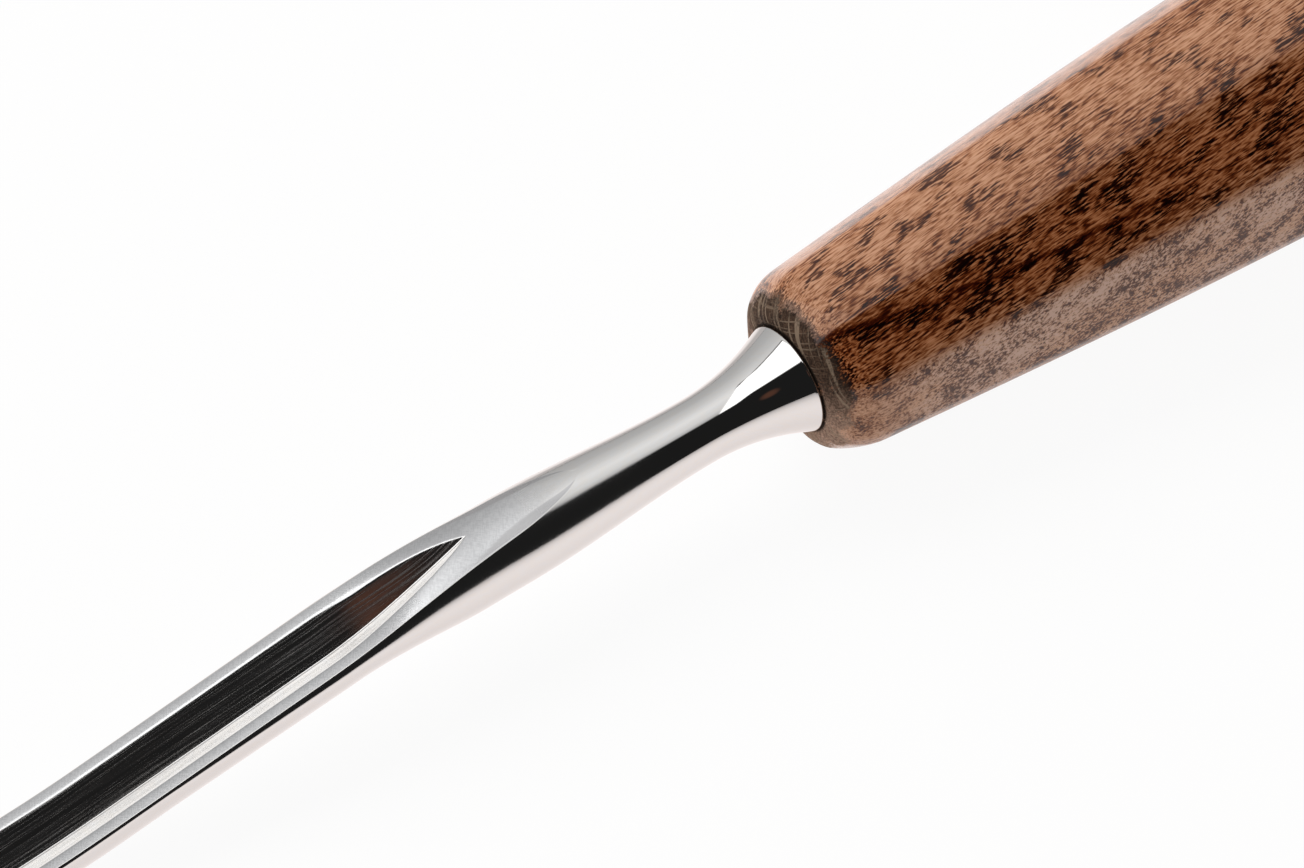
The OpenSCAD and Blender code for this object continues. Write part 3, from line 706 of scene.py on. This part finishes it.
    # lower on the nose the end grain is painted lighter, with fainter pores and no soak: painted light from the floor
    # below, partly its reflection
    toNose = gate(tree, split[0], *(share * seatX * mm for share in k["noseFrom"]))
    high = gate(tree, split[2], *(z * mm for z in k["highFrom"]))
    even = k["buttHigh"]  # the butt has no lighter lower part
    high = math(tree, "MULTIPLY_ADD", toNose, math(tree, "SUBTRACT", high, even), even)
    endColour = blendColour(tree, high, k["endLowLit"], k["endDark"])
    pored = math(tree, "MULTIPLY", pore, math(tree, "MULTIPLY_ADD", high, k["poreHigh"], k["poreLow"]))
    endColour = blendColour(tree, pored, endColour, k["endRim"])
    endColour = blendColour(tree, math(tree, "MULTIPLY", rayTone, k["rayShare"]), endColour, k["endPale"])
    fromAxis = math(tree, "SQRT", math(tree, "ADD", math(tree, "MULTIPLY", split[1], split[1]),
                                       math(tree, "MULTIPLY", split[2], split[2])))
    # painted shadow: a near-black ring on the wood just outside the bolster's rim
    joint = gate(tree, fromAxis, k["jointR"][1] * mm, k["jointR"][0] * mm)
    joint = math(tree, "MULTIPLY", joint, toNose)
    endColour = blendColour(tree, math(tree, "MULTIPLY", joint, k["jointShare"]), endColour, k["grime"])
    # the border of the end grain is ragged, with a dark soak just outside it
    ragged = math(tree, "MULTIPLY_ADD", math(tree, "SUBTRACT", group, 0.5), k["ragGroup"], endGrain)
    ragged = math(tree, "MULTIPLY_ADD", marks, k["ragMarks"], ragged)
    shown = math(tree, "MULTIPLY", gate(tree, ragged, *k["shownAt"]), gate(tree, endGrain, *k["shownLeast"]))
    soak = math(tree, "MULTIPLY", gate(tree, ragged, *k["soakAt"]), gate(tree, ragged, *k["soakEnd"]))
    soak = math(tree, "MULTIPLY", math(tree, "MULTIPLY", soak, high), gate(tree, endGrain, *k["soakLeast"]))
    colour = blendColour(tree, shown, colour, endColour)
    colour = blendColour(tree, math(tree, "MULTIPLY", soak, k["soakShare"]), colour, k["endRim"])
    rough = math(tree, "MULTIPLY_ADD", shown, k["endRough"] - k["rough"], k["rough"])
    rough = math(tree, "MULTIPLY_ADD", marks, k["markRough"], rough)
    height = math(tree, "MULTIPLY", marks, k["markDeep"])
    height = math(tree, "MULTIPLY_ADD", math(tree, "MULTIPLY", shown, rayTone), k["rayHigh"], height)
    bump = add(tree, "ShaderNodeBump", Strength=k["bumpShare"], Distance=k["bump"] * mm, Height=height).outputs[0]
    shader = add(tree, "ShaderNodeBsdfPrincipled", Roughness=rough, Normal=bump)
    tree.links.new(colour, shader.inputs["Base Color"])
    gloss = math(tree, "MULTIPLY_ADD", shown, k["endDull"] * k["gloss"], k["gloss"])
    tree.links.new(gloss, shader.inputs["Specular IOR Level"])
    lacquer = math(tree, "MULTIPLY_ADD", shown, -k["lacquer"], k["lacquer"])
    tree.links.new(lacquer, shader.inputs["Coat Weight"])
    shader.inputs["Coat Roughness"].default_value = k["lacquerRough"]
    add(tree, "ShaderNodeOutputMaterial", Surface=shader.outputs[0])
    return material


# floor that the tool rests on: through the lowest line of the handle and of the blade

floorLook = dict(
    half=3.0, lowBand=1.2, steepest=0.08, slopeN=1601,
    paint=(0.93, 0.9, 0.885), seenWhite=0.94, bouncedWhite=0.45,
    # for mirror rays: brightness across the floor, from the far side to the camera's, reach in m
    mirrorFrom=-0.3, mirrorTo=0.6, mirrorLevel=1.2, mirrorShare=0.8, warmth=(1, 0.93, 0.915),
    mirror=[(0.0, 0.42), (0.25, 0.46), (0.293, 0.95), (0.34, 1.0), (0.366, 1.0), (0.4, 0.9), (0.45, 0.72),
            (0.6, 0.52), (1.0, 0.36)],
)


def makeFloor(handle, blade):
    # for each slope, how low a plane must lie to touch each piece; the slope is the one where both agree
    f = floorLook

    def lowLine(piece):  # along and up of the points near the middle plane
        xyz = np.empty(3 * len(piece.data.vertices), np.float32)
        piece.data.vertices.foreach_get("co", xyz)
        xyz = xyz.reshape(-1, 3)
        return xyz[abs(xyz[:, 1]) < f["lowBand"] * mm][:, [0, 2]]

    slopes = np.linspace(0, f["steepest"], f["slopeN"])
    low = [(line[:, 1:] - line[:, :1] * slopes).min(0) for line in (lowLine(handle), lowLine(blade))]
    pick = abs(low[0] - low[1]).argmin()
    tilt, drop = slopes[pick], low[0][pick]
    half = f["half"]
    corner = np.array([[-half, -half], [half, -half], [half, half], [-half, half]])
    points = np.column_stack([corner, drop + tilt * corner[:, 0]]) / mm
    floor = makePiece("paleFloor", points, [np.array([[0, 1, 2, 3]])], 1)
    material = bpy.data.materials.new("paleFloorPaint")
    tree = newTree(material)
    path = add(tree, "ShaderNodeLightPath").outputs
    place = add(tree, "ShaderNodeTexCoord").outputs["Object"]
    across = add(tree, "ShaderNodeSeparateXYZ", in0=place).outputs[1]
    reach = add(tree, "ShaderNodeMapRange", in0=across, in1=f["mirrorFrom"], in2=f["mirrorTo"]).outputs[0]
    warmth = add(tree, "ShaderNodeVectorMath", operation="SCALE", in0=f["warmth"])
    tree.links.new(ramp(tree, reach, f["mirror"]), warmth.inputs["Scale"])
    lit = add(tree, "ShaderNodeBsdfDiffuse", Color=(*f["paint"], 1)).outputs[0]
    white = add(tree, "ShaderNodeEmission", Color=(1, 1, 1, 1), Strength=1.0).outputs[0]
    warm = add(tree, "ShaderNodeEmission", Color=warmth.outputs[0], Strength=f["mirrorLevel"]).outputs[0]
    seen = add(tree, "ShaderNodeMixShader", in0=f["seenWhite"], in1=lit, in2=white).outputs[0]
    mirrored = add(tree, "ShaderNodeMixShader", in0=f["mirrorShare"], in1=lit, in2=warm).outputs[0]
    shiny = math(tree, "MAXIMUM", path["Is Glossy Ray"], path["Is Transmission Ray"])
    bounced = add(tree, "ShaderNodeMixShader", in0=f["bouncedWhite"], in1=lit, in2=white).outputs[0]
    surface = add(tree, "ShaderNodeMixShader", in0=path["Is Camera Ray"], in1=bounced, in2=seen).outputs[0]
    surface = add(tree, "ShaderNodeMixShader", in0=shiny, in1=surface, in2=mirrored).outputs[0]
    add(tree, "ShaderNodeOutputMaterial", Surface=surface)
    floor.data.materials.append(material)
    print("floor tilt", round(float(np.degrees(np.arctan(tilt))), 2), "degrees")


# soft tent of light: bright overhead, falling off behind, black cloth on the camera's side

tent = dict(
    around=[(0.0, 0.014), (0.35, 0.014), (0.372, 0.6), (0.42, 0.86), (0.54, 1.04), (0.62, 0.9), (0.705, 0.76),
            (0.85, 0.58), (1.0, 0.5)],
    clothX=(-0.13, 0.06), clothRise=0.025, windowLevel=1.8,
    windowLeft=(-0.59, 0.89, 0.03), windowTop=(0.589, 0.344, 0.004), windowLow=(0.352, 0.364),
    frame=0.2, frameWide=0.018,
    brown=(0.1, 0.045, 0.03), brownX=0.15, brownWide=0.1, brownTurn=0.233, brownHigh=0.05,
    ambient=0.13, keyPower=11.5, keySize=0.9, keyPlace=(0.13, -0.675, 0.864),
)


def makeLight():
    # brightness of the surround by the angle round the tool's axis and the part x of a direction along it
    world = bpy.data.worlds.new("tent")
    bpy.context.scene.world = world
    tree = newTree(world)
    direction = add(tree, "ShaderNodeTexCoord").outputs["Generated"]
    x, y, z = add(tree, "ShaderNodeSeparateXYZ", in0=direction).outputs
    # angle round the tool's axis: 0 level on the camera's side, 1 level on the far side
    turn = math(tree, "DIVIDE", math(tree, "ARCTAN2", z, y), np.pi)
    # the cloth's upper edge rises towards the cutting end
    overCloth = math(tree, "MULTIPLY_ADD", gate(tree, x, *tent["clothX"]), -tent["clothRise"], turn)
    shade = ramp(tree, overCloth, tent["around"])
    # a bright window with a slanting left side and a rising top, and its dark frame along the top
    start, slope, soft = tent["windowLeft"]
    left = math(tree, "MULTIPLY_ADD", turn, -slope, math(tree, "SUBTRACT", x, start))
    base, rise, edge = tent["windowTop"]
    over = math(tree, "SUBTRACT", turn, math(tree, "MULTIPLY_ADD", x, rise, base))
    sides = math(tree, "MULTIPLY", gate(tree, left, 0.0, soft), gate(tree, overCloth, *tent["windowLow"]))
    bar = math(tree, "MULTIPLY", sides, gate(tree, over, tent["frameWide"] + edge, tent["frameWide"]))
    level = tent["frame"]
    shade = blendColour(tree, bar, shade, (level, level, level))
    level = tent["windowLevel"]
    pane = math(tree, "MULTIPLY", sides, gate(tree, over, edge, 0.0))
    shade = blendColour(tree, pane, shade, (level, level, level))
    # a brown patch, an ellipse that fades from its middle
    acrossX = math(tree, "DIVIDE", math(tree, "SUBTRACT", x, tent["brownX"]), tent["brownWide"])
    acrossTurn = math(tree, "DIVIDE", math(tree, "SUBTRACT", turn, tent["brownTurn"]), tent["brownHigh"])
    away = math(tree, "MULTIPLY_ADD", acrossX, acrossX, math(tree, "MULTIPLY", acrossTurn, acrossTurn))
    shade = blendColour(tree, gate(tree, away, 1.0, 0.0), shade, tent["brown"])
    path = add(tree, "ShaderNodeLightPath").outputs
    tented = add(tree, "ShaderNodeBackground", Color=shade, Strength=1.0).outputs[0]
    fill = add(tree, "ShaderNodeBackground", Color=(1, 1, 1, 1), Strength=tent["ambient"]).outputs[0]
    white = add(tree, "ShaderNodeBackground", Color=(1, 1, 1, 1), Strength=1.0).outputs[0]
    both = add(tree, "ShaderNodeMixShader", in0=path["Is Diffuse Ray"], in1=tented, in2=fill).outputs[0]
    both = add(tree, "ShaderNodeMixShader", in0=path["Is Camera Ray"], in1=both, in2=white).outputs[0]
    add(tree, "ShaderNodeOutputWorld", Surface=both)
    key = bpy.data.lights.new("keyPanel", "AREA")
    key.energy = tent["keyPower"]
    key.size = tent["keySize"]
    panel = bpy.data.objects.new("keyPanel", key)
    place = np.array(tent["keyPlace"])
    panel.location = place
    aim = np.array([seatX * mm, 0, 0]) - place
    panel.rotation_euler = Vector(aim).to_track_quat("-Z", "Y").to_euler()
    panel.visible_glossy = False
    bpy.context.scene.collection.objects.link(panel)
    bpy.context.scene.view_settings.view_transform = "Standard"
    print("light set")


# camera from the photograph: where the seat is seen, how the axis lies, how far away

shot = dict(
    width=1304, height=868, seatPixel=(789.5, 377.5), axisAngle=149.8, towards=(0.375, 0.558, 0.740),
    distance=600.0, focal=5925.0, sensor=36.0, clip=(0.01, 20.0),
)


def makeCamera():
    # two directions fix the turn: the line to the seat, and the tool's axis square to that line
    line = np.array(shot["towards"])
    line = line / np.linalg.norm(line)
    axis = np.array([1.0, 0, 0])
    axis = axis - (axis @ line) * line
    axis = axis / np.linalg.norm(axis)
    px = (np.array(shot["seatPixel"]) - np.array([shot["width"], shot["height"]]) / 2) / shot["focal"]
    ray = np.array([*px, 1.0])
    ray = ray / np.linalg.norm(ray)
    angle = np.radians(shot["axisAngle"])
    flat = np.array([np.cos(angle), np.sin(angle), 0])
    flat = flat - (flat @ ray) * ray
    flat = flat / np.linalg.norm(flat)
    world = np.stack([-line, axis, np.cross(-line, axis)], 1)
    seen = np.stack([ray, flat, np.cross(ray, flat)], 1)
    turn = seen @ world.T  # rows are right, down and forward
    place = np.array([seatX, 0, 0]) * mm + line * shot["distance"] * mm
    matrix = np.eye(4)
    matrix[:3, 0], matrix[:3, 1], matrix[:3, 2], matrix[:3, 3] = turn[0], -turn[1], -turn[2], place
    data = bpy.data.cameras.new("photoCamera")
    data.sensor_width = shot["sensor"]
    data.lens = shot["focal"] * shot["sensor"] / shot["width"]
    data.clip_start, data.clip_end = shot["clip"]
    camera = bpy.data.objects.new("photoCamera", data)
    bpy.context.scene.collection.objects.link(camera)
    camera.matrix_world = matrix.T.tolist()
    bpy.context.scene.camera = camera
    print("camera set")


blade = makeBlade()
blade.data.materials.append(makeSteel())
handle = makeHandle()
handle.data.materials.append(makeWood())
for piece, node, slot in ((blade, "blade", "polished_steel"), (handle, "handle", "stained_wood")):
    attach(piece, "root")
    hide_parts(node)
makeFloor(handle, blade)
makeLight()
makeCamera()
